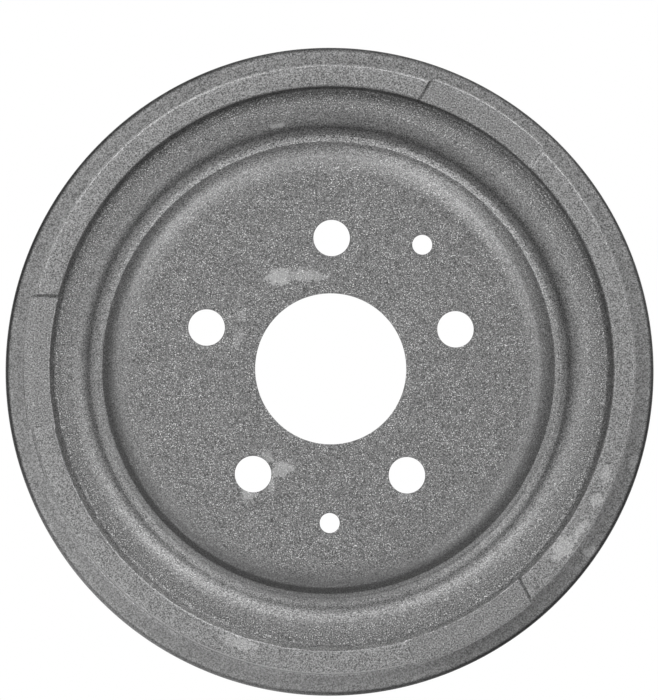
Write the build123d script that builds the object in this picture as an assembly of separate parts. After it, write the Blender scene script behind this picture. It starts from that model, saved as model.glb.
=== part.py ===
from build123d import *
import os
from math import radians, tan

# A cast-iron brake drum, made as one casting: a thick-walled pot, open at the bottom, whose flat web
# carries the wheel. It stands on its open rim, with Z up along its axis and the wheel side on top.
# All sizes are in millimetres, and all angles are in degrees, counted anticlockwise from +X.

# The shell: a turned bore for the shoes, a wall with a little draft outside it and a flange round the open rim
drum_height = 79.0          # open rim face to the crown of the outer band
friction_radius = 127.0     # the 254 mm bore that the shoes press on
wall_thickness = 6.0        # round the bore, just under the crown
wall_flare = 0.6            # how much wider the wall's draft makes it at the flange
flange_width = 9.35         # beyond the foot of the wall, which makes the rim 285.9 mm across
flange_thickness = 9.0
flange_round = 1.8          # upper edge of the flange
flange_chamfer = 0.8        # lower edge of the flange, which is turned
wall_foot_round = 0.8

# The open rim face: a lead-in for the shoes and a ring channel for the lip of the backing plate
mouth_chamfer = 1.5
mouth_land = 4.5            # flat ring between the lead-in and the channel
channel_width = 5.0
channel_depth = 5.0
channel_taper = 0.5         # how much narrower each side of the channel makes its floor

# The outer band, the highest ring of the casting, and the ledge inside it
crown_width = 9.7
crown_outer_round = 1.2
ledge_drop = 4.5            # crown to ledge
riser_angle = 68.0
riser_round = 4.0
crown_inner_round = 1.5

# The ring groove between the raised middle of the web and the ledge: how wide each stretch of it is and
# how steeply it falls or climbs on the way out
groove_offset = 21.9        # inner edge of the band to the lowest line of the groove
shoulder_width = 7.2
shoulder_fall = 16.0
shoulder_round = 20.0
inner_wall_width = 4.1
inner_wall_fall = 49.5
inner_wall_round = 10.0
inner_floor_width = 2.5
inner_floor_fall = 13.0
outer_floor_width = 2.9
outer_floor_climb = 26.0
outer_wall_climb = 36.0
ledge_round = 18.0          # where the outer wall runs out into the ledge

# The web, with the hub's seat under it
web_drop = 3.0              # crown to web face
web_thickness = 7.5         # where the hub and the wheel clamp it
ledge_thickness = 6.5
groove_floor_thickness = 6.5
bulge_half_width = 5.0      # flat underside of the groove's bulge
bulge_run = 5.5             # width of each slope beside that flat
bulge_round = 4.0
hub_face_round = 3.0

# The end of the turned bore, relieved for the tool and blended into the web
relief_depth = 0.8
relief_start = 7.0          # below the underside of the ledge
inner_corner_round = 5.0

# The holes in the web
bore_radius = 33.0
bore_chamfer = 1.0          # on the hub side only
lug_circle_diameter = 114.3
lug_count = 5
lug_radius = 8.0
lug_first_angle = 90.0
service_circle_diameter = 134.7
service_radius = 4.4
service_pitches = (-0.5, 2.5)   # places between the lug holes, in lug pitches from the first one

# The three clamping pads, on the outside of the wall, for the chuck that turns the bore
pad_count = 3
pad_first_angle = 58.4
pad_span = 26.0
pad_proud = 1.8             # beyond the wall, at the crown
pad_drop = 0.8              # crown to the top of a pad
pad_round = 1.2
pad_root = 3.0              # how deep a pad's own solid reaches into the wall


# Radii and levels that follow from the sizes above
wall_top_radius = friction_radius + wall_thickness
wall_foot_radius = wall_top_radius + wall_flare
rim_radius = wall_foot_radius + flange_width
crown_inner_radius = wall_top_radius - crown_width
groove_radius = crown_inner_radius - groove_offset
pad_radius = wall_top_radius + pad_proud

web_z = drum_height - web_drop
ledge_z = drum_height - ledge_drop
inner_wall_z = web_z - shoulder_width * tan(radians(shoulder_fall))
inner_floor_z = inner_wall_z - inner_wall_width * tan(radians(inner_wall_fall))
groove_z = inner_floor_z - inner_floor_width * tan(radians(inner_floor_fall))
outer_wall_z = groove_z + outer_floor_width * tan(radians(outer_floor_climb))
hub_face_z = web_z - web_thickness
ledge_underside_z = ledge_z - ledge_thickness
bulge_z = groove_z - groove_floor_thickness
bore_end_z = ledge_underside_z - relief_start
pad_z = drum_height - pad_drop


def run_of(rise, angle):
    """Horizontal run of a slope that climbs by rise at angle."""
    return rise / tan(radians(angle))


def wheel_side():
    """Corners of the section on the wheel's side, from the bore out to the flange: radius, height, round."""
    inner_floor_radius = groove_radius - inner_floor_width
    inner_wall_radius = inner_floor_radius - inner_wall_width
    outer_wall_radius = groove_radius + outer_floor_width
    return [
        (bore_radius, web_z, 0),
        (inner_wall_radius - shoulder_width, web_z, shoulder_round),
        (inner_wall_radius, inner_wall_z, inner_wall_round),
        (inner_floor_radius, inner_floor_z, 0),
        (groove_radius, groove_z, 0),
        (outer_wall_radius, outer_wall_z, 0),
        (outer_wall_radius + run_of(ledge_z - outer_wall_z, outer_wall_climb), ledge_z, ledge_round),
        (crown_inner_radius - run_of(ledge_drop, riser_angle), ledge_z, riser_round),
        (crown_inner_radius, drum_height, crown_inner_round),
        (wall_top_radius, drum_height, crown_outer_round),
        (wall_foot_radius, flange_thickness, wall_foot_round),
        (rim_radius, flange_thickness, flange_round),
    ]


def open_side():
    """Corners of the section on the open side, from the flange in to the bore: radius, height, round."""
    channel_inner = friction_radius + mouth_chamfer + mouth_land
    channel_outer = channel_inner + channel_width
    relief_radius = friction_radius + relief_depth
    return [
        (rim_radius, flange_chamfer, 0),
        (rim_radius - flange_chamfer, 0, 0),
        (channel_outer, 0, 0),
        (channel_outer - channel_taper, channel_depth, 0),
        (channel_inner + channel_taper, channel_depth, 0),
        (channel_inner, 0, 0),
        (friction_radius + mouth_chamfer, 0, 0),
        (friction_radius, mouth_chamfer, 0),
        (friction_radius, bore_end_z, 0),
        (relief_radius, bore_end_z + relief_depth, 0),
        (relief_radius, ledge_underside_z, inner_corner_round),
        (groove_radius + bulge_half_width + bulge_run, ledge_underside_z, bulge_round),
        (groove_radius + bulge_half_width, bulge_z, bulge_round),
        (groove_radius - bulge_half_width, bulge_z, bulge_round),
        (groove_radius - bulge_half_width - bulge_run, hub_face_z, hub_face_round),
        (bore_radius + bore_chamfer, hub_face_z, 0),
        (bore_radius, hub_face_z + bore_chamfer, 0),
    ]


def section(corners):
    """Flat face in the plane of the axis, with each corner rounded to its own radius."""
    points = [(radius, 0, height) for radius, height, _ in corners]
    rounds = [corner_round for _, _, corner_round in corners]
    return make_face(FilletPolyline(*points, radius=rounds, close=True))


def pad_sector(corners, first_angle):
    """Solid swept round the axis from a section, as wide as one clamping pad."""
    turned = section(corners).rotate(Axis.Z, first_angle)
    return revolve(turned, Axis.Z, pad_span)


def clamping_pads(casting):
    """Steps the crown down at each pad and brings the wall out to the pad's own radius."""
    step = [
        (crown_inner_radius - wall_thickness, pad_z, 0),
        (pad_radius + wall_thickness, pad_z, 0),
        (pad_radius + wall_thickness, drum_height + pad_drop, 0),
        (crown_inner_radius - wall_thickness, drum_height + pad_drop, 0),
    ]
    pad = [
        (wall_top_radius - pad_root, flange_thickness, 0),
        (pad_radius, flange_thickness, 0),
        (pad_radius, pad_z, pad_round),
        (wall_top_radius - pad_root, pad_z, 0),
    ]
    for index in range(pad_count):
        first_angle = pad_first_angle + index * 360 / pad_count - pad_span / 2
        casting = casting - pad_sector(step, first_angle)
        casting = casting + pad_sector(pad, first_angle)
    return casting


def web_holes():
    """The lug holes and the service holes, as plain cylinders through the web."""
    depth = web_thickness + web_drop
    lug_pitch = 360 / lug_count
    lug = Cylinder(lug_radius, 2 * depth)
    service = Cylinder(service_radius, 2 * depth)
    holes = [
        place * lug
        for place in PolarLocations(lug_circle_diameter / 2, lug_count, start_angle=lug_first_angle)
    ]
    for pitches in service_pitches:
        angle = lug_first_angle + pitches * lug_pitch
        holes.append(Rot(0, 0, angle) * Pos(service_circle_diameter / 2, 0, 0) * service)
    return [Pos(0, 0, web_z - web_thickness / 2) * hole for hole in holes]


def brake_drum():
    """The whole casting as one solid."""
    casting = revolve(section(wheel_side() + open_side()), Axis.Z)
    casting = clamping_pads(casting)
    for hole in web_holes():
        casting = casting - hole
    return casting


os.makedirs("parts", exist_ok=True)
export_step(brake_drum(), "parts/brake_drum.step")
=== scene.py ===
import bpy
import math
from mathutils import Matrix, Vector


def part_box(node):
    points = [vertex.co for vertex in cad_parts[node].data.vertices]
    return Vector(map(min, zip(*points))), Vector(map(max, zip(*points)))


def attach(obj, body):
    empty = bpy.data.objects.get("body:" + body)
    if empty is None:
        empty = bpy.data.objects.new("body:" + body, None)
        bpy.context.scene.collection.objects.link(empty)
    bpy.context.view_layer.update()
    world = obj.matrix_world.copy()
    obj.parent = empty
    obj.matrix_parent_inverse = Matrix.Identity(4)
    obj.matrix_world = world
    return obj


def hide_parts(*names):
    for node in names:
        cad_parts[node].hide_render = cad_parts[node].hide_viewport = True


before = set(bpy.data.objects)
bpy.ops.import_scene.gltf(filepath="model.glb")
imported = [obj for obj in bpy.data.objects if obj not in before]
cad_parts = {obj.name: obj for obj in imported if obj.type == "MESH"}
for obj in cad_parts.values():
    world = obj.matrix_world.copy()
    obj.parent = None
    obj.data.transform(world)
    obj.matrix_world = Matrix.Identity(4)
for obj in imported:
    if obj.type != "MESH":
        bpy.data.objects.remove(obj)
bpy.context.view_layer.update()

MM = 0.001


# The casting
# One pour of grey iron in a sand mould: a pot with a flanged mouth, a thick rounded-over web and a raised
# band round it. It is grit-blasted all over, then bored and faced inside and drilled through the web.
_, far_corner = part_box("brake_drum")
rim_radius = far_corner.x
drum_height = far_corner.z
flange_thickness = 9.0 * MM
flange_round = 1.8 * MM
flange_chamfer = 0.8 * MM
wall_foot_radius = rim_radius - 9.35 * MM
wall_flare = 0.6 * MM
wall_top_radius = wall_foot_radius - wall_flare
wall_foot_round = 0.8 * MM
bore_wall = 6.0 * MM
shoe_radius = wall_top_radius - bore_wall
mouth_chamfer = 1.5 * MM
mouth_land = 4.5 * MM
channel_width = 5.0 * MM
channel_depth = 5.0 * MM
channel_taper = 0.5 * MM
crown_inner_radius = wall_top_radius - 9.7 * MM
crown_outer_round = 1.2 * MM
crown_inner_round = 1.5 * MM
ledge_z = drum_height - 4.5 * MM
riser_angle = 68.0
riser_round = 4.0 * MM
web_z = drum_height - 3.0 * MM
groove_radius = crown_inner_radius - 21.9 * MM
shoulder_width = 7.2 * MM
shoulder_fall = 16.0
shoulder_round = 20.0 * MM
inner_wall_width = 4.1 * MM
inner_wall_fall = 49.5
inner_wall_round = 10.0 * MM
inner_floor_width = 2.5 * MM
inner_floor_radius = groove_radius - inner_floor_width
inner_floor_fall = 13.0
inner_floor_round = 0.5 * MM
outer_floor_width = 2.9 * MM
outer_wall_radius = groove_radius + outer_floor_width
outer_floor_climb = 26.0
outer_floor_round = 0.8 * MM
outer_wall_climb = 36.0
outer_wall_round = 3.0 * MM
ledge_round = 18.0 * MM
hub_face_z = web_z - 7.5 * MM
underside_z = ledge_z - 6.5 * MM
groove_floor_thickness = 6.5 * MM
bulge_half_width = 5.0 * MM
bulge_run = 5.5 * MM
bulge_round = 4.0 * MM
hub_face_round = 3.0 * MM
relief_depth = 0.8 * MM
bore_end_z = underside_z - 7.0 * MM
inner_corner_round = 5.0 * MM
pilot_radius = 33.0 * MM
pilot_chamfer = 1.0 * MM
edge_break = 0.15 * MM
arc_step = 15.0


def run_of(rise, angle):
    return rise / math.tan(math.radians(angle))


def rise_of(run, angle):
    return run * math.tan(math.radians(angle))


def casting_corners():
    """Corners of the section as radius, height, round and the row spacing of the run that follows."""
    fine, mid, coarse = 1.1 * MM, 1.7 * MM, 7.5 * MM
    channel_inner = shoe_radius + mouth_chamfer + mouth_land
    channel_outer = channel_inner + channel_width
    relief_radius = shoe_radius + relief_depth
    inner_wall_radius = inner_floor_radius - inner_wall_width
    inner_wall_z = web_z - rise_of(shoulder_width, shoulder_fall)
    inner_floor_z = inner_wall_z - rise_of(inner_wall_width, inner_wall_fall)
    groove_z = inner_floor_z - rise_of(inner_floor_width, inner_floor_fall)
    outer_wall_z = groove_z + rise_of(outer_floor_width, outer_floor_climb)
    bulge_z = groove_z - groove_floor_thickness
    return [
        (pilot_radius, web_z, edge_break, coarse),
        (inner_wall_radius - shoulder_width, web_z, shoulder_round, fine),
        (inner_wall_radius, inner_wall_z, inner_wall_round, fine),
        (inner_floor_radius, inner_floor_z, inner_floor_round, fine),
        (groove_radius, groove_z, outer_floor_round, fine),
        (outer_wall_radius, outer_wall_z, outer_wall_round, fine),
        (outer_wall_radius + run_of(ledge_z - outer_wall_z, outer_wall_climb), ledge_z, ledge_round, mid),
        (crown_inner_radius - run_of(drum_height - ledge_z, riser_angle), ledge_z, riser_round, fine),
        (crown_inner_radius, drum_height, crown_inner_round, mid),
        (wall_top_radius, drum_height, crown_outer_round, coarse),
        (wall_foot_radius, flange_thickness, wall_foot_round, mid),
        (rim_radius, flange_thickness, flange_round, mid * 2),
        (rim_radius, flange_chamfer, edge_break, mid),
        (rim_radius - flange_chamfer, 0, edge_break, coarse),
        (channel_outer, 0, edge_break, coarse),
        (channel_outer - channel_taper, channel_depth, edge_break, coarse),
        (channel_inner + channel_taper, channel_depth, edge_break, coarse),
        (channel_inner, 0, edge_break, coarse),
        (shoe_radius + mouth_chamfer, 0, edge_break, coarse),
        (shoe_radius, mouth_chamfer, edge_break, coarse),
        (shoe_radius, bore_end_z, edge_break, coarse),
        (relief_radius, bore_end_z + relief_depth, edge_break, coarse),
        (relief_radius, underside_z, inner_corner_round, coarse),
        (groove_radius + bulge_half_width + bulge_run, underside_z, bulge_round, coarse),
        (groove_radius + bulge_half_width, bulge_z, bulge_round, coarse),
        (groove_radius - bulge_half_width, bulge_z, bulge_round, coarse),
        (groove_radius - bulge_half_width - bulge_run, hub_face_z, hub_face_round, coarse),
        (pilot_radius + pilot_chamfer, hub_face_z, edge_break, coarse),
        (pilot_radius, hub_face_z + pilot_chamfer, edge_break, coarse),
    ]


def rounded_loop(corners):
    """Points of the closed section, with every corner turned into an arc and every run divided."""
    loop = []
    count = len(corners)
    for index, (radius, height, corner_round, spacing) in enumerate(corners):
        here = Vector((radius, height))
        before = Vector(corners[index - 1][:2]) - here
        after = Vector(corners[(index + 1) % count][:2]) - here
        turn = math.pi - before.angle(after)
        reach = corner_round * math.tan(turn / 2)
        start = here + before.normalized() * reach
        inward = (before.normalized() + after.normalized()).normalized()
        middle = here + inward * corner_round / math.cos(turn / 2)
        steps = max(1, round(turn / math.radians(arc_step)), round(turn * corner_round / spacing))
        side = -1 if before.x * after.y - before.y * after.x > 0 else 1
        for step in range(steps + 1):
            angle = side * turn * step / steps
            spoke = start - middle
            turned = Vector((
                spoke.x * math.cos(angle) - spoke.y * math.sin(angle),
                spoke.x * math.sin(angle) + spoke.y * math.cos(angle),
            ))
            loop.append((middle + turned, spacing))
    divided = []
    for index, (point, spacing) in enumerate(loop):
        gap = loop[(index + 1) % len(loop)][0] - point
        pieces = max(1, round(gap.length / spacing))
        divided += [point + gap * piece / pieces for piece in range(pieces)]
    return divided


section_points = rounded_loop(casting_corners())
section_mesh = bpy.data.meshes.new("casting_section")
section_mesh.from_pydata([(p.x, 0, p.y) for p in section_points + section_points[:1]], [], [])
last_row = len(section_points)
outside_rows = next(row for row, point in enumerate(section_points) if point.y < flange_chamfer)
outside = section_mesh.attributes.new("outside", "FLOAT", "POINT")
sides = [float(row < outside_rows or row == last_row) for row in range(last_row + 1)]
outside.data.foreach_set("value", sides)
casting = bpy.data.objects.new("drum_casting", section_mesh)
bpy.context.scene.collection.objects.link(casting)


def wire(tree, kind, inputs=None, **settings):
    """Adds one node to a tree, sets it up, and feeds its inputs from sockets or plain values."""
    made = tree.nodes.new(kind)
    for name, value in settings.items():
        setattr(made, name, value)
    for name, value in (inputs or {}).items():
        if isinstance(value, bpy.types.NodeSocket):
            tree.links.new(value, made.inputs[name])
        else:
            made.inputs[name].default_value = value
    return made


def calc(tree, operation, *values):
    """One Math node, with its result."""
    return wire(tree, "ShaderNodeMath", dict(enumerate(values)), operation=operation).outputs[0]


def vector_calc(tree, operation, *values, **named):
    """One Vector Math node, with its result."""
    inputs = dict(enumerate(values)) | named
    return wire(tree, "ShaderNodeVectorMath", inputs, operation=operation).outputs[0]


def product(tree, first, *others):
    for other in others:
        first = calc(tree, "MULTIPLY", first, other)
    return first


def add_share(tree, base, amount, *masks):
    """The base with an amount added as far as all the masks reach."""
    return calc(tree, "MULTIPLY_ADD", product(tree, *masks), amount, base)


def ramp(tree, value, start, end, first=0.0, last=1.0):
    """A smooth step of value from start to end."""
    inputs = {"Value": value, "From Min": start, "From Max": end, "To Min": first, "To Max": last}
    made = wire(tree, "ShaderNodeMapRange", inputs, interpolation_type="SMOOTHSTEP")
    return made.outputs["Result"]


def plateau(tree, value, start, full, last, end):
    """One from full to last, and falling smoothly to nought at start and at end."""
    return product(tree, ramp(tree, value, start, full), ramp(tree, value, end, last))


def separate(tree, vector):
    return wire(tree, "ShaderNodeSeparateXYZ", {0: vector}).outputs


def axis_distance(tree, across, along):
    squares = calc(tree, "MULTIPLY_ADD", across, across, calc(tree, "MULTIPLY", along, along))
    return calc(tree, "SQRT", squares)


# How the turned section becomes the casting: swept round the axis, stepped down and out at the three
# clamping pads, its rings a little off centre as the cores lay, its skin gently uneven, then drilled.
turn_steps = 480
pad_count = 3
pad_first_angle = 58.9
pad_half_width = 28.5 * MM
pad_proud = 1.8 * MM
pad_drop = 0.8 * MM
pad_edge = 0.22
pad_step_inset = 1 * MM
pad_step_depth = 8 * MM
column_pull = 0.75
column_crowding = 0.4
groove_shift = Vector((-0.90, 0.60, 0)) * MM
middle_shift = Vector((-1.45, -0.25, 0)) * MM
riser_shift = Vector((0.21, 0.18, 0)) * MM
groove_lean = (
    groove_radius - 22 * MM,
    groove_radius - 11 * MM,
    groove_radius + 9 * MM,
    groove_radius + 17 * MM,
)
middle_lean = (groove_radius - 3.5 * MM, groove_radius - 6.5 * MM)
riser_lean = (
    groove_radius + 12 * MM,
    groove_radius + 18 * MM,
    crown_inner_radius + 1 * MM,
    crown_inner_radius + 6 * MM,
)
skin_height = 0.2 * MM
skin_scale = 130.0
skin_detail = 2.5
skin_roughness = 0.55
skin_highest = 0.85
skin_start = (groove_radius - 16 * MM, groove_radius - 10 * MM)
skin_foot = (0.7 * flange_thickness, flange_thickness)
merge_distance = 0.005 * MM
crisp_angle = 40.0
lug_circle_radius = 57.15 * MM
lug_count = 5
lug_radius = 8.0 * MM
lug_first_angle = 90.0
service_circle_radius = 67.35 * MM
service_radius = 4.4 * MM
service_angles = (lug_first_angle - 0.5 * 360 / lug_count, lug_first_angle + 2.5 * 360 / lug_count)
hole_break = 0.2 * MM
drill_depth = 8 * MM
drill_sides = 96


def read_side(tree):
    """One on the casting's outside and nought on its open side, as stored on the section."""
    inputs = {"Name": "outside"}
    return wire(tree, "GeometryNodeInputNamedAttribute", inputs, data_type="FLOAT").outputs[0]


def at_row(tree, section, value, row, data_type):
    """A value of the section at one of its rows."""
    inputs = {"Geometry": section, "Value": value, "Index": row}
    return wire(tree, "GeometryNodeSampleIndex", inputs, data_type=data_type).outputs[0]


def pad_columns(tree, given, column, radius, side):
    """The turn of each column, drawn in to the pads' ends on the outside, and how far it is on a pad."""
    degrees = calc(tree, "MULTIPLY", calc(tree, "DIVIDE", column, given["Turn steps"]), 360.0)
    pitch = 360.0 / pad_count
    from_pad = calc(tree, "WRAP", calc(tree, "SUBTRACT", degrees, pad_first_angle), pitch / 2, -pitch / 2)
    share = calc(tree, "DIVIDE", given["Pad half width"], calc(tree, "MAXIMUM", radius, groove_radius))
    half_span = calc(tree, "DEGREES", calc(tree, "ARCSINE", share))
    beyond = calc(tree, "SUBTRACT", calc(tree, "ABSOLUTE", from_pad), half_span)
    crowd = calc(tree, "EXPONENT", product(tree, beyond, beyond, -column_crowding))
    pulled = product(tree, beyond, crowd, side, column_pull)
    turned = calc(tree, "SUBTRACT", degrees, product(tree, pulled, calc(tree, "SIGN", from_pad)))
    on_pad = ramp(tree, calc(tree, "SUBTRACT", beyond, pulled), pad_edge, -pad_edge)
    return calc(tree, "RADIANS", turned), on_pad


def stepped_section(tree, given, radius, height, on_pad):
    """Radius and height of the section, brought out and down where it is on a pad."""
    outer = ramp(tree, radius, crown_inner_radius + pad_step_inset, wall_top_radius - crown_outer_round)
    upper = ramp(tree, height, ledge_z - pad_step_depth, drum_height - crown_outer_round)
    drop = product(tree, given["Pad drop"], on_pad)
    lowered = calc(tree, "SUBTRACT", height, product(tree, drop, outer, upper))
    stepped = calc(tree, "MINIMUM", lowered, calc(tree, "SUBTRACT", drum_height, drop))
    flare = wall_flare / (drum_height - flange_thickness)
    below_crown = calc(tree, "SUBTRACT", drum_height, height)
    missing = calc(tree, "MULTIPLY_ADD", below_crown, -flare, given["Pad proud"])
    above_foot = calc(tree, "GREATER_THAN", height, flange_thickness + wall_foot_round)
    pushed = product(tree, calc(tree, "MAXIMUM", missing, 0.0), on_pad, outer, above_foot)
    return calc(tree, "ADD", radius, pushed), stepped


def ring_lean(tree, given, radius, side):
    """How far off the drum's centre the groove, the raised middle and the riser's edge lie."""
    inputs = {0: ramp(tree, radius, *middle_lean), 4: given["Groove shift"], 5: given["Middle shift"]}
    lean = wire(tree, "ShaderNodeMix", inputs, data_type="VECTOR").outputs[1]
    ring = product(tree, plateau(tree, radius, *groove_lean), side)
    riser = product(tree, plateau(tree, radius, *riser_lean), side)
    return vector_calc(
        tree,
        "ADD",
        vector_calc(tree, "SCALE", lean, Scale=ring),
        vector_calc(tree, "SCALE", given["Riser shift"], Scale=riser),
    )


def skin_offset(tree, given):
    """Unevenness of the skin, always inwards, wherever the outside is left as cast."""
    position = wire(tree, "GeometryNodeInputPosition").outputs[0]
    here = separate(tree, position)
    away = axis_distance(tree, here["X"], here["Y"])
    as_cast = product(
        tree,
        ramp(tree, here["Z"], *skin_foot),
        ramp(tree, away, *skin_start),
        read_side(tree),
    )
    inputs = {"Vector": position, "Scale": skin_scale, "Detail": skin_detail, "Roughness": skin_roughness}
    noise = wire(tree, "ShaderNodeTexNoise", inputs, noise_dimensions="3D").outputs[0]
    level = calc(tree, "SUBTRACT", noise, skin_highest)
    swell = product(tree, level, given["Skin height"], as_cast)
    return vector_calc(tree, "SCALE", wire(tree, "GeometryNodeInputNormal").outputs[0], Scale=swell)


def drill(tree, hole_radius):
    """One drill, flared above the face to break the hole's edge."""
    inputs = {"Vertices": drill_sides, "Side Segments": 2, "Radius": hole_radius, "Depth": 2 * drill_depth}
    made = wire(tree, "GeometryNodeMeshCylinder", inputs)
    position = wire(tree, "GeometryNodeInputPosition").outputs[0]
    top = calc(tree, "GREATER_THAN", separate(tree, position)["Z"], drill_depth / 2)
    grown = calc(tree, "DIVIDE", calc(tree, "ADD", hole_radius, drill_depth), hole_radius)
    factor = calc(tree, "MULTIPLY_ADD", calc(tree, "SUBTRACT", grown, 1.0), top, 1.0)
    flare = wire(tree, "ShaderNodeCombineXYZ", {"X": factor, "Y": factor, "Z": 1.0}).outputs[0]
    flared = vector_calc(tree, "MULTIPLY", position, flare)
    inputs = {"Geometry": made.outputs["Mesh"], "Position": flared}
    return wire(tree, "GeometryNodeSetPosition", inputs).outputs[0]


def drill_cutters(tree, given):
    """The drills for the five lug holes and the two service holes, all in place."""
    level = web_z - hole_break
    inputs = {"Vertices": lug_count, "Radius": lug_circle_radius}
    ring = wire(tree, "GeometryNodeMeshCircle", inputs).outputs[0]
    first_turn = (0, 0, math.radians(lug_first_angle))
    inputs = {"Geometry": ring, "Translation": (0, 0, level), "Rotation": first_turn}
    placed = wire(tree, "GeometryNodeTransform", inputs).outputs[0]
    inputs = {"Points": placed, "Instance": drill(tree, given["Lug radius"])}
    lugs = wire(tree, "GeometryNodeInstanceOnPoints", inputs).outputs[0]
    group = wire(tree, "GeometryNodeJoinGeometry")
    tree.links.new(wire(tree, "GeometryNodeRealizeInstances", {"Geometry": lugs}).outputs[0], group.inputs[0])
    for angle in service_angles:
        turn = math.radians(angle)
        spot = (service_circle_radius * math.cos(turn), service_circle_radius * math.sin(turn), level)
        inputs = {"Geometry": drill(tree, given["Service radius"]), "Translation": spot}
        tree.links.new(wire(tree, "GeometryNodeTransform", inputs).outputs[0], group.inputs[0])
    return group.outputs[0]


def casting_tree():
    """The modifier that sweeps, shapes and drills the section."""
    tree = bpy.data.node_groups.new("cast_and_drilled", "GeometryNodeTree")
    tree.is_modifier = True
    sizes = (
        ("Turn steps", "NodeSocketInt", turn_steps),
        ("Pad half width", "NodeSocketFloat", pad_half_width),
        ("Pad proud", "NodeSocketFloat", pad_proud),
        ("Pad drop", "NodeSocketFloat", pad_drop),
        ("Groove shift", "NodeSocketVector", groove_shift),
        ("Middle shift", "NodeSocketVector", middle_shift),
        ("Riser shift", "NodeSocketVector", riser_shift),
        ("Skin height", "NodeSocketFloat", skin_height),
        ("Lug radius", "NodeSocketFloat", lug_radius),
        ("Service radius", "NodeSocketFloat", service_radius),
    )
    tree.interface.new_socket(name="Section", in_out="INPUT", socket_type="NodeSocketGeometry")
    for name, kind, size in sizes:
        tree.interface.new_socket(name=name, in_out="INPUT", socket_type=kind).default_value = size
    tree.interface.new_socket(name="Casting", in_out="OUTPUT", socket_type="NodeSocketGeometry")
    given = wire(tree, "NodeGroupInput").outputs

    rows = wire(tree, "GeometryNodeAttributeDomainSize", {"Geometry": given["Section"]}, component="MESH")
    columns = calc(tree, "ADD", given["Turn steps"], 1)
    grid_size = {"Vertices X": rows.outputs["Point Count"], "Vertices Y": columns}
    grid = wire(tree, "GeometryNodeMeshGrid", grid_size).outputs["Mesh"]
    index = wire(tree, "GeometryNodeInputIndex").outputs[0]
    row = calc(tree, "FLOOR", calc(tree, "DIVIDE", calc(tree, "ADD", index, 0.5), columns))
    column = calc(tree, "SUBTRACT", index, calc(tree, "MULTIPLY", row, columns))
    position = wire(tree, "GeometryNodeInputPosition").outputs[0]
    section = separate(tree, at_row(tree, given["Section"], position, row, "FLOAT_VECTOR"))
    side = at_row(tree, given["Section"], read_side(tree), row, "FLOAT")

    turn, on_pad = pad_columns(tree, given, column, section["X"], side)
    radius, height = stepped_section(tree, given, section["X"], section["Z"], on_pad)
    across = calc(tree, "MULTIPLY", radius, calc(tree, "COSINE", turn))
    along = calc(tree, "MULTIPLY", radius, calc(tree, "SINE", turn))
    place = wire(tree, "ShaderNodeCombineXYZ", {"X": across, "Y": along, "Z": height}).outputs[0]
    leaned = vector_calc(tree, "ADD", place, ring_lean(tree, given, section["X"], side))
    marked = wire(
        tree,
        "GeometryNodeStoreNamedAttribute",
        {"Geometry": grid, "Name": "outside", "Value": side},
        data_type="FLOAT",
        domain="POINT",
    )
    swept = wire(tree, "GeometryNodeSetPosition", {"Geometry": marked.outputs[0], "Position": leaned})
    inputs = {"Geometry": swept.outputs[0], "Distance": merge_distance}
    joined = wire(tree, "GeometryNodeMergeByDistance", inputs)
    inputs = {"Geometry": joined.outputs[0], "Offset": skin_offset(tree, given)}
    skinned = wire(tree, "GeometryNodeSetPosition", inputs)

    drilled = wire(
        tree,
        "GeometryNodeMeshBoolean",
        {"Mesh 1": skinned.outputs[0]},
        operation="DIFFERENCE",
        solver="EXACT",
    )
    tree.links.new(drill_cutters(tree, given), drilled.inputs["Mesh 2"])
    inputs = {"Geometry": drilled.outputs["Mesh"], "Shade Smooth": True}
    smooth = wire(tree, "GeometryNodeSetShadeSmooth", inputs, domain="FACE")
    angle = wire(tree, "GeometryNodeInputMeshEdgeAngle").outputs["Unsigned Angle"]
    sharp = calc(tree, "GREATER_THAN", angle, math.radians(crisp_angle))
    inputs = {"Geometry": smooth.outputs[0], "Selection": sharp, "Shade Smooth": False}
    crisp = wire(tree, "GeometryNodeSetShadeSmooth", inputs, domain="EDGE")
    realized = wire(tree, "GeometryNodeRealizeInstances", {"Geometry": crisp.outputs[0]})
    inputs = {"Geometry": realized.outputs[0], "Material": cast_iron}
    finished = wire(tree, "GeometryNodeSetMaterial", inputs)
    wire(tree, "NodeGroupOutput", {"Casting": finished.outputs[0]})
    return tree


# The finish
# The casting is blasted with steel grit, which leaves a matt skin of tiny bright facets. Its creases and the
# foot of its riser are painted darker as shade, and its edges and some sides are painted lighter where the
# lamps fall on them. Where it is turned or drilled, the iron is smooth, with fine tool marks.
iron_tone = 0.175
iron_roughness = 0.5
turned_lift = 1.5
turned_roughness = 0.32
drilled_lift = 0.55
grit_size = 0.62 * MM
tool_mark_scale = 900.0
tool_mark_height = 0.25
skin_relief = 0.035 * MM
pimple_size = 2.2 * grit_size
face_margin = 0.3 * MM
bore_margin = 0.1 * MM
hole_wall = 0.05 * MM
crown_margin = 0.4 * MM
seam_half_width = 0.45 * MM
pad_shade = -0.06
wall_finish_high = drum_height - 1.5 * MM
wall_finish_low = drum_height - 3 * MM
foot_high = flange_thickness + 1 * MM
foot_low = flange_thickness + 0.2 * MM

# Azimuths, in degrees, of the sides that are painted lighter or darker as the lamps fall on them, or whose
# grain is coarser, and the cosines between which the difference comes in
shading_and_grain_azimuth = 80
cross_azimuth = 25
shade_and_highlight_azimuth = 138
far_azimuth = 325
flange_shade_fade = (0.8, 0.93)
highlight_fade = (0.75, 0.93)
flange_light_azimuth = 235
flange_light_fade = (0.75, 0.95)
crest_azimuth = 282
crest_fade = (0.75, 0.97)

# Lightness of the wall, and the painted light and shade added to it: the flange lighter, and darker or
# lighter on some sides, its upper edge painted dark, its corner at the wall's foot painted light, and the
# crown's edge painted as a highlight
wall_tone = 1.35
flange_lift = 0.24
painted_flange_shade = -0.17
painted_flange_light = 0.1
rim_edge_shade = -1.12
painted_rim_edge_light = 0.42
foot_corner_lift = 0.6
crown_highlight = 0.25
sided_crown_highlight = 0.55
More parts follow.
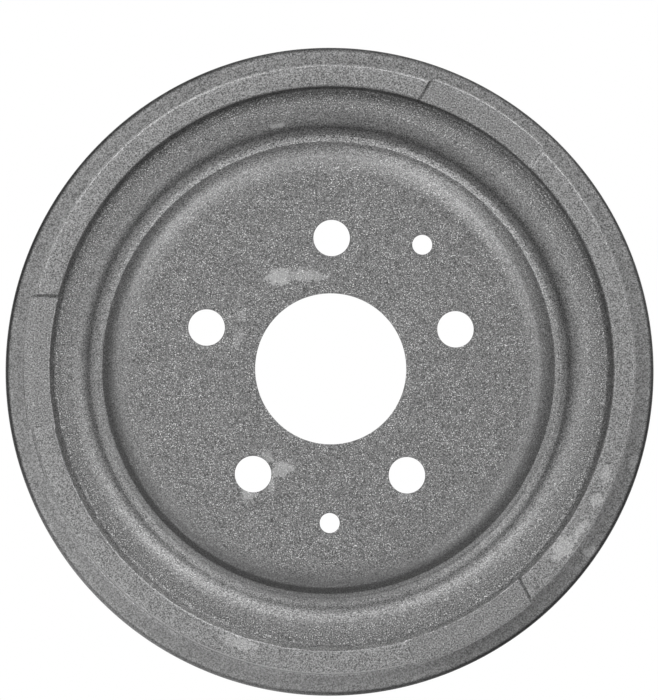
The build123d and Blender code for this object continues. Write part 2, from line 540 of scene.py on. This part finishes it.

# How far the rings of the wheel side are painted lighter or darker, as light and shade, on the sides named
# above
shoulder_shade = -0.09
crest_lift = 0.1
riser_start_swing = 0.16
riser_foot_shade = -0.22
riser_face_lift = 0.28
riser_face_swing = -0.72

# The grain: how large its spots are, and how much lighter or darker
facet_contrast = 0.52
speck_size = 0.8 * grit_size
speck_lift = 2.9
clump_size = 6 * grit_size
clump_contrast = 0.35
pit_size = 1.5 * grit_size
pit_shade = -0.35
mottle_size = 9 * grit_size
mottle_contrast = 0.05
blotch_size = 40 * grit_size
blotch_contrast = 0.1
dull_contrast = 0.04
wall_grain_change = -0.25
flange_grain_swing = 0.2
floor_grain_swing = 0.35

# The rub marks: how ragged they are, where they start to fade, and how much of the grain they leave
ragged_scale = 420.0
fray_depth = 1.1
mark_fade = 0.7
grain_left = 0.3


def within(tree, value, start, end):
    """One where the value lies between start and end, and nought elsewhere."""
    return product(tree, calc(tree, "GREATER_THAN", value, start), calc(tree, "LESS_THAN", value, end))


def facing_share(tree, here, radius, azimuth):
    """Cosine of the angle round the axis between a point and one azimuth in degrees."""
    turn = math.radians(azimuth)
    along = calc(tree, "MULTIPLY", here["Y"], math.sin(turn))
    return calc(tree, "DIVIDE", calc(tree, "MULTIPLY_ADD", here["X"], math.cos(turn), along), radius)


def tone_over(tree, radius, stops):
    """Lightness against radius, in straight stretches between the stops."""
    reach = 1.1 * rim_radius
    band = wire(tree, "ShaderNodeValToRGB", {"Fac": calc(tree, "DIVIDE", radius, reach)})
    marks = band.color_ramp.elements
    while len(marks) < len(stops):
        marks.new(1.0)
    for mark, (stop, tone) in zip(marks, stops):
        mark.position = stop / reach
        mark.color = (tone / 2, tone / 2, tone / 2, 1)
    return calc(tree, "MULTIPLY", band.outputs["Color"], 2.0)


def grain(tree, where, size, first, last, start=0.3, end=0.7, detail=1.0):
    """Noise of one grain size: first at its level start, last at its level end."""
    noise = wire(tree, "ShaderNodeTexNoise", {"Vector": where, "Scale": 1 / size, "Detail": detail})
    inputs = {"Value": noise.outputs[0], "From Min": start, "From Max": end, "To Min": first, "To Max": last}
    return wire(tree, "ShaderNodeMapRange", inputs).outputs["Result"]


def blend(tree, share, first, second):
    return wire(tree, "ShaderNodeMix", {"Factor": share, "A": first, "B": second}).outputs["Result"]


def turned_faces(tree, radius, here):
    """Mask of the shoe track, the rim face with its channel, and the hub's seat."""
    shoe_track = product(
        tree,
        within(tree, radius, shoe_radius - face_margin, shoe_radius + relief_depth + bore_margin),
        calc(tree, "LESS_THAN", here["Z"], bore_end_z + relief_depth),
    )
    rim_face = calc(tree, "LESS_THAN", here["Z"], face_margin)
    channel = product(
        tree,
        within(tree, radius, shoe_radius, shoe_radius + mouth_chamfer + mouth_land + channel_width),
        calc(tree, "LESS_THAN", here["Z"], channel_depth + face_margin),
    )
    hub_seat = product(
        tree,
        calc(tree, "LESS_THAN", radius, groove_radius - bulge_half_width - bulge_run - hub_face_round),
        calc(tree, "LESS_THAN", here["Z"], hub_face_z + pilot_chamfer),
    )
    rim = calc(tree, "MAXIMUM", rim_face, channel)
    return calc(tree, "MAXIMUM", calc(tree, "MAXIMUM", shoe_track, rim), hub_seat)


def drilled_walls(tree, radius, here):
    """Mask of the walls of the pilot bore, the lug holes and the service holes."""
    around = calc(tree, "ARCTAN2", here["Y"], here["X"])
    pitch = 2 * math.pi / lug_count
    from_first = calc(tree, "SUBTRACT", around, math.radians(lug_first_angle))
    from_lug = calc(tree, "WRAP", from_first, pitch / 2, -pitch / 2)
    out = calc(tree, "SUBTRACT", product(tree, radius, calc(tree, "COSINE", from_lug)), lug_circle_radius)
    aside = product(tree, radius, calc(tree, "SINE", from_lug))
    drilled = calc(tree, "LESS_THAN", axis_distance(tree, out, aside), lug_radius + hole_wall)
    for angle in service_angles:
        turn = math.radians(angle)
        across = calc(tree, "SUBTRACT", here["X"], service_circle_radius * math.cos(turn))
        along = calc(tree, "SUBTRACT", here["Y"], service_circle_radius * math.sin(turn))
        beside = calc(tree, "LESS_THAN", axis_distance(tree, across, along), service_radius + hole_wall)
        drilled = calc(tree, "MAXIMUM", drilled, beside)
    pilot = product(
        tree,
        calc(tree, "LESS_THAN", radius, pilot_radius + hole_wall),
        calc(tree, "LESS_THAN", here["Z"], web_z - bore_margin),
    )
    return calc(tree, "MAXIMUM", drilled, pilot)


def rub_marks(tree, where):
    """Light smears where other iron rubbed it: middle, half length, half width, turn and how light."""
    marks = (
        (-22.9, 40.0, 6.4, 4.0, 8, 1.15),
        (-12.0, 40.5, 12.0, 2.9, 2, 0.75),
        (-21.0, -44.0, 6.0, 3.6, 20, 0.95),
        (-27.3, -38.8, 3.4, 2.4, 315, 0.65),
        (-25.6, -50.4, 1.9, 3.8, 0, 0.6),
        (-35.0, -54.8, 3.8, 3.2, 0, 0.95),
        (-39.8, 22.7, 2.8, 2.4, 0, 0.4),
        (-40.3, 13.4, 2.4, 4.6, 350, 0.4),
        (33.0, -55.2, 3.4, 1.7, 0, 0.5),
        (102.0, -77.8, 7.0, 4.6, 53, 0.7),
        (109.2, -69.6, 5.6, 2.2, 57, 0.6),
        (116.4, -56.2, 3.2, 2.8, 60, 0.55),
        (120.4, -45.2, 4.4, 3.0, 70, 0.45),
        (115.4, -79.0, 4.6, 2.6, 20, 0.5),
        (133.9, -39.4, 4.0, 2.6, 70, 0.3),
        (-38.7, -119.8, 9.5, 3.0, 342, 0.45),
        (-23.8, 106.0, 4.2, 1.1, 12, 0.8),
    )
    inputs = {"Vector": where, "Scale": ragged_scale, "Detail": 4.0, "Roughness": 0.7}
    ragged = wire(tree, "ShaderNodeTexNoise", inputs).outputs[0]
    fray = calc(tree, "MULTIPLY_ADD", ragged, -2 * fray_depth, fray_depth)
    rubbed = 0.0
    for across, along, length, width, turn, lift in marks:
        inputs = {
            "Vector": where,
            "Location": (across * MM, along * MM, 0),
            "Rotation": (0, 0, math.radians(turn)),
            "Scale": (length * MM, width * MM, 1),
        }
        placed = wire(tree, "ShaderNodeMapping", inputs, vector_type="TEXTURE").outputs[0]
        far = wire(tree, "ShaderNodeVectorMath", {0: placed}, operation="LENGTH").outputs["Value"]
        mark = ramp(tree, calc(tree, "ADD", far, fray), 1.0, mark_fade, 0.0, lift)
        rubbed = calc(tree, "MAXIMUM", rubbed, mark)
    return rubbed


def pad_marks(tree, radius, here):
    """Mask of the pads, and the painted shadow in the step at each of their ends, darker at the ends turned
    from the lamps.
    """
    left_shadows = (0.45, 0.1, 0.45)
    right_shadows = (0.1, 0.45, 0.1)
    band = within(tree, radius, crown_inner_radius - crown_margin, wall_top_radius + pad_proud)
    on_top = product(tree, band, calc(tree, "GREATER_THAN", here["Z"], drum_height - 2 * pad_drop))
    step_shadows = 1.0
    on_pad = 0.0
    for index, (left_shadow, right_shadow) in enumerate(zip(left_shadows, right_shadows)):
        azimuth = pad_first_angle + index * 360 / pad_count
        along = product(tree, facing_share(tree, here, radius, azimuth), radius)
        across = product(tree, facing_share(tree, here, radius, azimuth + 90), radius)
        facing = calc(tree, "GREATER_THAN", along, 0.0)
        beyond = calc(tree, "SUBTRACT", calc(tree, "ABSOLUTE", across), pad_half_width)
        line = ramp(tree, calc(tree, "ABSOLUTE", beyond), 2 * seam_half_width, seam_half_width)
        left = calc(tree, "GREATER_THAN", across, 0.0)
        depth = calc(tree, "MULTIPLY_ADD", left, left_shadow - right_shadow, right_shadow)
        step_shadows = product(tree, add_share(tree, 1.0, -1.0, line, on_top, facing, depth), step_shadows)
        on_pad = calc(tree, "MAXIMUM", on_pad, product(tree, facing, calc(tree, "LESS_THAN", beyond, 0.0)))
    return on_pad, step_shadows


def leaned_radius(tree, here, radius):
    """Radius from each ring's own centre, for what follows the rings as they were cast."""
    ring = plateau(tree, radius, *groove_lean)
    riser = plateau(tree, radius, *riser_lean)
    across = add_share(tree, add_share(tree, here["X"], -groove_shift.x, ring), -riser_shift.x, riser)
    along = add_share(tree, add_share(tree, here["Y"], -groove_shift.y, ring), -riser_shift.y, riser)
    return axis_distance(tree, across, along)


def wheel_side_shading(tree, cast_radius):
    """Lightness of each ring of the wheel side: painted shade in the groove's creases and at the foot of the
    riser, and painted highlights on the shoulder and the edges; the band is lighter as well.
    """
    stops = (
        (groove_radius - 18.0 * MM, 1.0),
        (groove_radius - 12.0 * MM, 1.1),
        (groove_radius - 9.5 * MM, 1.19),
        (groove_radius - 5.0 * MM, 1.1),
        (inner_floor_radius - 1.8 * MM, 1.07),
        (inner_floor_radius - 0.3 * MM, 1.07),
        (groove_radius - 1.3 * MM, 1.2),
        (groove_radius - 0.85 * MM, 0.88),
        (groove_radius - 0.4 * MM, 1.2),
        (outer_wall_radius - 0.8 * MM, 1.05),
        (outer_wall_radius + 0.9 * MM, 0.72),
        (outer_wall_radius + 2.6 * MM, 1.12),
        (outer_wall_radius + 4.5 * MM, 1.26),
        (groove_radius + 10.0 * MM, 1.1),
        (crown_inner_radius - 6.5 * MM, 1.04),
        (crown_inner_radius - 4.2 * MM, 0.86),
        (crown_inner_radius - 2.4 * MM, 0.78),
        (crown_inner_radius - 1.2 * MM, 1.0),
        (crown_inner_radius, 1.38),
        (wall_top_radius, 1.4),
    )
    return tone_over(tree, cast_radius, stops)


def wall_and_flange_shading(tree, here, radius):
    """Lightness of the wall and the flange, with painted shade along the flange's upper edge all round,
    painted light in its corner, and painted light and shade on some sides.
    """
    foot = ramp(tree, here["Z"], foot_high, foot_low)
    # Painted shade along the flange's upper outer edge
    rim_edge = product(
        tree,
        ramp(tree, radius, rim_radius - 2.3 * MM, rim_radius - 1.0 * MM),
        ramp(tree, here["Z"], flange_thickness - 3.5 * MM, flange_thickness - 1.5 * MM),
        foot,
    )
    # Painted light in the corner at the wall's foot
    corner = ramp(tree, radius, wall_foot_radius + 0.8 * MM, wall_foot_radius + 0.2 * MM)
    # Sides where the flange is painted darker, as less lamp light falls there
    shaded_sides = calc(
        tree,
        "MAXIMUM",
        ramp(tree, facing_share(tree, here, radius, shade_and_highlight_azimuth), *flange_shade_fade),
        ramp(tree, facing_share(tree, here, radius, far_azimuth), *flange_shade_fade),
    )
    # The side where the flange and its upper edge are painted lighter, as lamp light falls there
    full = ramp(tree, facing_share(tree, here, radius, flange_light_azimuth), *flange_light_fade)
    tone = add_share(tree, wall_tone, flange_lift, foot)
    tone = add_share(tree, tone, painted_flange_shade, shaded_sides, foot)
    tone = add_share(tree, tone, painted_flange_light, full, foot)
    edge_shade = add_share(tree, rim_edge_shade, painted_rim_edge_light, full)
    tone = calc(tree, "MULTIPLY_ADD", rim_edge, edge_shade, tone)
    return add_share(tree, tone, foot_corner_lift, foot, corner)


def crown_edge_highlight(tree, here, radius, on_pad):
    """Painted highlight on the band's outer edge, strongest on the side the lamps light most."""
    edge_radius = calc(tree, "MULTIPLY_ADD", on_pad, pad_proud, wall_top_radius)
    inset = calc(tree, "SUBTRACT", edge_radius, radius)
    highlight_side = facing_share(tree, here, radius, shade_and_highlight_azimuth)
    return product(
        tree,
        ramp(tree, inset, 1.3 * MM, 0.7 * MM),
        ramp(tree, here["Z"], drum_height - 4 * MM, drum_height - 2.5 * MM),
        ramp(tree, highlight_side, *highlight_fade, crown_highlight, sided_crown_highlight),
    )


def sided_ring_shading(tree, here, radius, cast_radius, shading_and_grain_side):
    """Painted light and shade on some rings of the wheel side, lighter or darker on the sides where the lamps
    fall on them.
    """

    def ring(middle, *offsets):
        """Mask of one ring, from four distances in millimetres from a known radius."""
        return plateau(tree, cast_radius, *(middle + offset * MM for offset in offsets))

    riser_face = ring(crown_inner_radius, -2.1, -1.1, -0.5, 0.3)
    riser_foot = ring(crown_inner_radius, -6.5, -4.5, -2.1, -1.1)
    riser_start = ring(crown_inner_radius, -4.0, -3.0, -2.1, -1.1)
    shoulder = ring(groove_radius, -17.0, -14.5, -11.5, -9.5)
    crest = ring(groove_radius, 5.0, 7.0, 9.0, 11.0)
    cross = facing_share(tree, here, radius, cross_azimuth)
    both_ends = calc(tree, "MAXIMUM", add_share(tree, -1.0, 2.0, cross, cross), 0.0)
    crest_side = ramp(tree, facing_share(tree, here, radius, crest_azimuth), *crest_fade)
    ring_shading = add_share(tree, 1.0, shoulder_shade, shoulder, both_ends)
    ring_shading = add_share(tree, ring_shading, crest_lift, crest, crest_side)
    negative_side = calc(tree, "MINIMUM", shading_and_grain_side, 0.0)
    ring_shading = add_share(tree, ring_shading, riser_start_swing, riser_start, negative_side)
    riser_shading = add_share(tree, 1.0, riser_foot_shade, riser_foot, calc(tree, "MAXIMUM", shading_and_grain_side, 0.0))
    face_lift = add_share(tree, riser_face_lift, riser_face_swing, shading_and_grain_side)
    riser_shading = add_share(tree, riser_shading, 1.0, riser_face, face_lift)
    return product(tree, riser_shading, ring_shading)


def grain_strength(tree, radius, cast_radius, shading_and_grain_side, wall):
    """How rough the grain is: finer in the groove, and coarser on the side away from the grit."""
    stops = (
        (0, 0.97),
        (groove_radius - 16.4 * MM, 0.95),
        (groove_radius - 11.4 * MM, 0.95),
        (groove_radius - 8.4 * MM, 0.8),
        (groove_radius - 5.4 * MM, 1.05),
        (groove_radius - 1.4 * MM, 1.1),
        (groove_radius + 6.6 * MM, 1.15),
        (groove_radius + 10.1 * MM, 1.0),
        (groove_radius + 12.6 * MM, 1.05),
        (crown_inner_radius - 4.8 * MM, 1.12),
        (crown_inner_radius - 1.3 * MM, 1.12),
        (crown_inner_radius, 1.2),
        (wall_top_radius, 1.2),
        (wall_foot_radius, 1.02),
    )
    on_flange = ramp(tree, radius, wall_foot_radius, wall_foot_radius + 1 * MM)
    floor_start, floor_full = groove_radius - 10 * MM, groove_radius - 7 * MM
    groove_floor = plateau(tree, cast_radius, floor_start, floor_full, groove_radius, groove_radius + 2 * MM)
    settled = add_share(tree, 1.0, wall_grain_change, wall)
    settled = add_share(tree, settled, flange_grain_swing, on_flange, shading_and_grain_side)
    settled = add_share(tree, settled, floor_grain_swing, groove_floor, shading_and_grain_side)
    return product(tree, tone_over(tree, cast_radius, stops), settled)


def grit_grain(tree, where, cast_radius, wall):
    """The facets, bright specks, pits and soft mottle of the skin, as shares of its lightness."""
    stops = (
        (groove_radius - 18 * MM, 1.0),
        (groove_radius - 10 * MM, 0.35),
        (groove_radius + 8 * MM, 0.3),
        (groove_radius + 14 * MM, 0.75),
        (crown_inner_radius - 3 * MM, 0.9),
        (crown_inner_radius + 0.5 * MM, 0.2),
    )
    sparkle = tone_over(tree, cast_radius, stops)
    facets = grain(tree, where, grit_size, -facet_contrast, facet_contrast)
    low, high = 1 - clump_contrast, 1 + clump_contrast
    clumps = grain(tree, where, clump_size, low, high, start=0.35, end=0.65, detail=2.0)
    specks = grain(tree, where, speck_size, 0.0, speck_lift, start=0.58, end=0.8, detail=0.0)
    glints = product(tree, specks, clumps, sparkle)
    pits = product(tree, grain(tree, where, pit_size, 0.0, pit_shade, start=0.42, end=0.22), sparkle)
    mottle = grain(tree, where, mottle_size, -mottle_contrast, mottle_contrast, detail=3.0)
    blotch = grain(tree, where, blotch_size, -blotch_contrast, blotch_contrast, detail=4.0)
    blotches = product(tree, blotch, wall)
    bright = calc(tree, "ADD", facets, glints)
    return calc(tree, "ADD", bright, calc(tree, "ADD", pits, calc(tree, "ADD", mottle, blotches)))


def bare_metal(tree, cast_radius, skin):
    """One for bare iron, and less where the scale is left in the groove's steep inner side."""
    stops = (
        (groove_radius - 8.5 * MM, 0.0),
        (groove_radius - 6.5 * MM, 0.22),
        (groove_radius - 3.0 * MM, 0.22),
        (groove_radius - 1.0 * MM, 0.0),
    )
    return add_share(tree, 1.0, -1.0, tone_over(tree, cast_radius, stops), skin)


def surface_relief(tree, where, here, radius, machined):
    """The skin's pimples, or the fine lines of the tool on a machined face, as a bumped normal."""
    across_lines = calc(tree, "MULTIPLY", radius, tool_mark_scale)
    along_lines = calc(tree, "MULTIPLY", here["Z"], tool_mark_scale)
    stretched = wire(tree, "ShaderNodeCombineXYZ", {"X": across_lines, "Y": along_lines}).outputs[0]
    lines = wire(tree, "ShaderNodeTexNoise", {"Vector": stretched, "Scale": 1.0, "Detail": 2.0}).outputs[0]
    inputs = {"Vector": where, "Scale": 1 / pimple_size, "Detail": 2.0}
    pimples = wire(tree, "ShaderNodeTexNoise", inputs).outputs[0]
    height = blend(tree, machined, pimples, calc(tree, "MULTIPLY", lines, tool_mark_height))
    inputs = {"Height": height, "Strength": 1.0, "Distance": skin_relief}
    return wire(tree, "ShaderNodeBump", inputs).outputs["Normal"]


def iron_finish():
    """The casting's one material, which goes by the place on it."""
    made = bpy.data.materials.new("blasted_cast_iron")
    made.use_nodes = True
    tree = made.node_tree
    shader = tree.nodes["Principled BSDF"]
    where = wire(tree, "ShaderNodeTexCoord").outputs["Object"]
    here = separate(tree, where)
    radius = axis_distance(tree, here["X"], here["Y"])
    cast_radius = leaned_radius(tree, here, radius)
    # Side on which some rings are painted lighter or darker and the grain is coarser
    shading_and_grain_side = facing_share(tree, here, radius, shading_and_grain_azimuth)
    turned = turned_faces(tree, radius, here)
    drilled = drilled_walls(tree, radius, here)
    machined = calc(tree, "MAXIMUM", turned, drilled)
    skin = calc(tree, "SUBTRACT", 1.0, machined)
    outer = calc(tree, "GREATER_THAN", radius, wall_top_radius - crown_margin)
    below_crown = ramp(tree, here["Z"], wall_finish_high, wall_finish_low)
    above_flange = ramp(tree, here["Z"], foot_low, foot_high)
    wall = product(tree, outer, below_crown, above_flange)
    on_pad, step_shadows = pad_marks(tree, radius, here)

    # Painted light and shade: the rings of the wheel side, the wall and flange, the highlight on the crown's
    # edge and the sided rings
    painted_wheel_side = wheel_side_shading(tree, cast_radius)
    tone = blend(tree, outer, painted_wheel_side, wall_and_flange_shading(tree, here, radius))
    tone = calc(tree, "ADD", tone, crown_edge_highlight(tree, here, radius, on_pad))
    pad_top = calc(tree, "GREATER_THAN", radius, crown_inner_radius)
    pad_tone = add_share(tree, 1.0, pad_shade, on_pad, pad_top)
    tone = product(tree, tone, sided_ring_shading(tree, here, radius, cast_radius, shading_and_grain_side), pad_tone)

    rubbed = product(tree, rub_marks(tree, where), skin, calc(tree, "SUBTRACT", 1.0, wall))
    polish = {"Value": rubbed, "From Max": 1.0, "To Min": 1.0, "To Max": grain_left}
    unpolished = wire(tree, "ShaderNodeMapRange", polish).outputs["Result"]
    strength = grain_strength(tree, radius, cast_radius, shading_and_grain_side, wall)
    speckle = grit_grain(tree, where, cast_radius, wall)
    gritty = add_share(tree, 1.0, 1.0, speckle, skin, unpolished, strength)
    lift = add_share(tree, 1.0, turned_lift - 1.0, turned)
    lift = add_share(tree, lift, drilled_lift - 1.0, drilled)
    worn = calc(tree, "ADD", rubbed, 1.0)
    # The lightness also carries the painted shadows in the pads' steps
    lightness = product(tree, blend(tree, machined, tone, 1.0), gritty, lift, worn, step_shadows, iron_tone)
    grey = wire(tree, "ShaderNodeCombineColor", {"Red": lightness, "Green": lightness, "Blue": lightness})
    tree.links.new(grey.outputs[0], shader.inputs["Base Color"])
    tree.links.new(bare_metal(tree, cast_radius, skin), shader.inputs["Metallic"])

    dull = grain(tree, where, clump_size, -dull_contrast, dull_contrast, detail=3.0)
    blasted = calc(tree, "ADD", dull, iron_roughness)
    tree.links.new(blend(tree, machined, blasted, turned_roughness), shader.inputs["Roughness"])
    tree.links.new(surface_relief(tree, where, here, radius, machined), shader.inputs["Normal"])
    return made


cast_iron = iron_finish()

modifier = casting.modifiers.new("cast_and_drilled", "NODES")
modifier.node_group = casting_tree()
casting_done = bpy.data.meshes.new_from_object(casting.evaluated_get(bpy.context.evaluated_depsgraph_get()))
casting.modifiers.remove(modifier)
casting.data = casting_done
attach(casting, "root")
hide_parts("brake_drum")


# The floor
# A plain white sheet that gives its own light, so that no shadow falls round the drum.
floor_reach = 40.0
floor_mesh = bpy.data.meshes.new("floor")
corners = [(-1, -1), (1, -1), (1, 1), (-1, 1)]
floor_mesh.from_pydata([(x * floor_reach, y * floor_reach, 0) for x, y in corners], [], [(0, 1, 2, 3)])
floor = bpy.data.objects.new("floor", floor_mesh)
bpy.context.scene.collection.objects.link(floor)
floor_white = bpy.data.materials.new("floor_white")
floor_white.use_nodes = True
floor_shader = floor_white.node_tree.nodes["Principled BSDF"]
floor_shader.inputs["Base Color"].default_value = (0.0, 0.0, 0.0, 1)
floor_shader.inputs["Roughness"].default_value = 1.0
floor_shader.inputs["Specular IOR Level"].default_value = 0.0
floor_shader.inputs["Emission Color"].default_value = (1, 1, 1, 1)
floor_shader.inputs["Emission Strength"].default_value = 1.0
floor_mesh.materials.append(floor_white)


# The lights
# Soft round lamps, all at one distance. Most of their light comes from the picture's upper side, and two
# of them stand low, at its lower left and below it.
world_strength = 0.26
lamp_distance = 1.8
lamp_size = 0.7
lamps = (
    ("upper_right", 45, 50, 7.8),
    ("upper_left", 135, 50, 7.8),
    ("top_right", 68, 31, 7.8),
    ("top_left", 112, 31, 3.8),
    ("overhead", 210, 70, 5.3),
    ("low_left", 225, 13, 5.2),
    ("low", 270, 13, 3.0),
    ("right", 0, 50, 2.8),
    ("lower_right", 315, 50, 3.8),
)
world = bpy.data.worlds.new("studio")
bpy.context.scene.world = world
world.use_nodes = True
world.node_tree.nodes["Background"].inputs["Color"].default_value = (1, 1, 1, 1)
world.node_tree.nodes["Background"].inputs["Strength"].default_value = world_strength
bpy.context.scene.view_settings.view_transform = "Standard"

for name, azimuth, elevation, power in lamps:
    turn, rise = math.radians(azimuth), math.radians(elevation)
    toward = Vector((math.cos(turn) * math.cos(rise), math.sin(turn) * math.cos(rise), math.sin(rise)))
    light = bpy.data.lights.new(name, "AREA")
    light.shape = "DISK"
    light.size = lamp_size
    light.energy = power
    lamp = bpy.data.objects.new(name, light)
    lamp.location = toward * lamp_distance
    lamp.rotation_euler = (-toward).to_track_quat("-Z", "Y").to_euler()
    lamp.visible_camera = False
    bpy.context.scene.collection.objects.link(lamp)


# The camera
# Square on to the wheel side from far off, a little below and left of the axis.
photo_scale = 0.4409 * MM
photo_height = 700
view_height = 6.65
view_from = Vector((-0.049, -0.123, view_height))
view_to = Vector((-0.00035, 0.0095, flange_thickness))
camera_roll = 0.4
camera_data = bpy.data.cameras.new("camera")
camera_data.sensor_width = 36
camera_data.lens = camera_data.sensor_width * (view_height - flange_thickness) / photo_scale / photo_height
camera_data.clip_end = 100
camera = bpy.data.objects.new("camera", camera_data)
back = (view_from - view_to).normalized()
right = Vector((0, 1, 0)).cross(back).normalized()
aim = Matrix((right, back.cross(right), back)).transposed().to_4x4()
roll = Matrix.Rotation(math.radians(camera_roll), 4, "Z")
camera.matrix_world = Matrix.Translation(view_from) @ aim @ roll
bpy.context.scene.collection.objects.link(camera)
bpy.context.scene.camera = camera
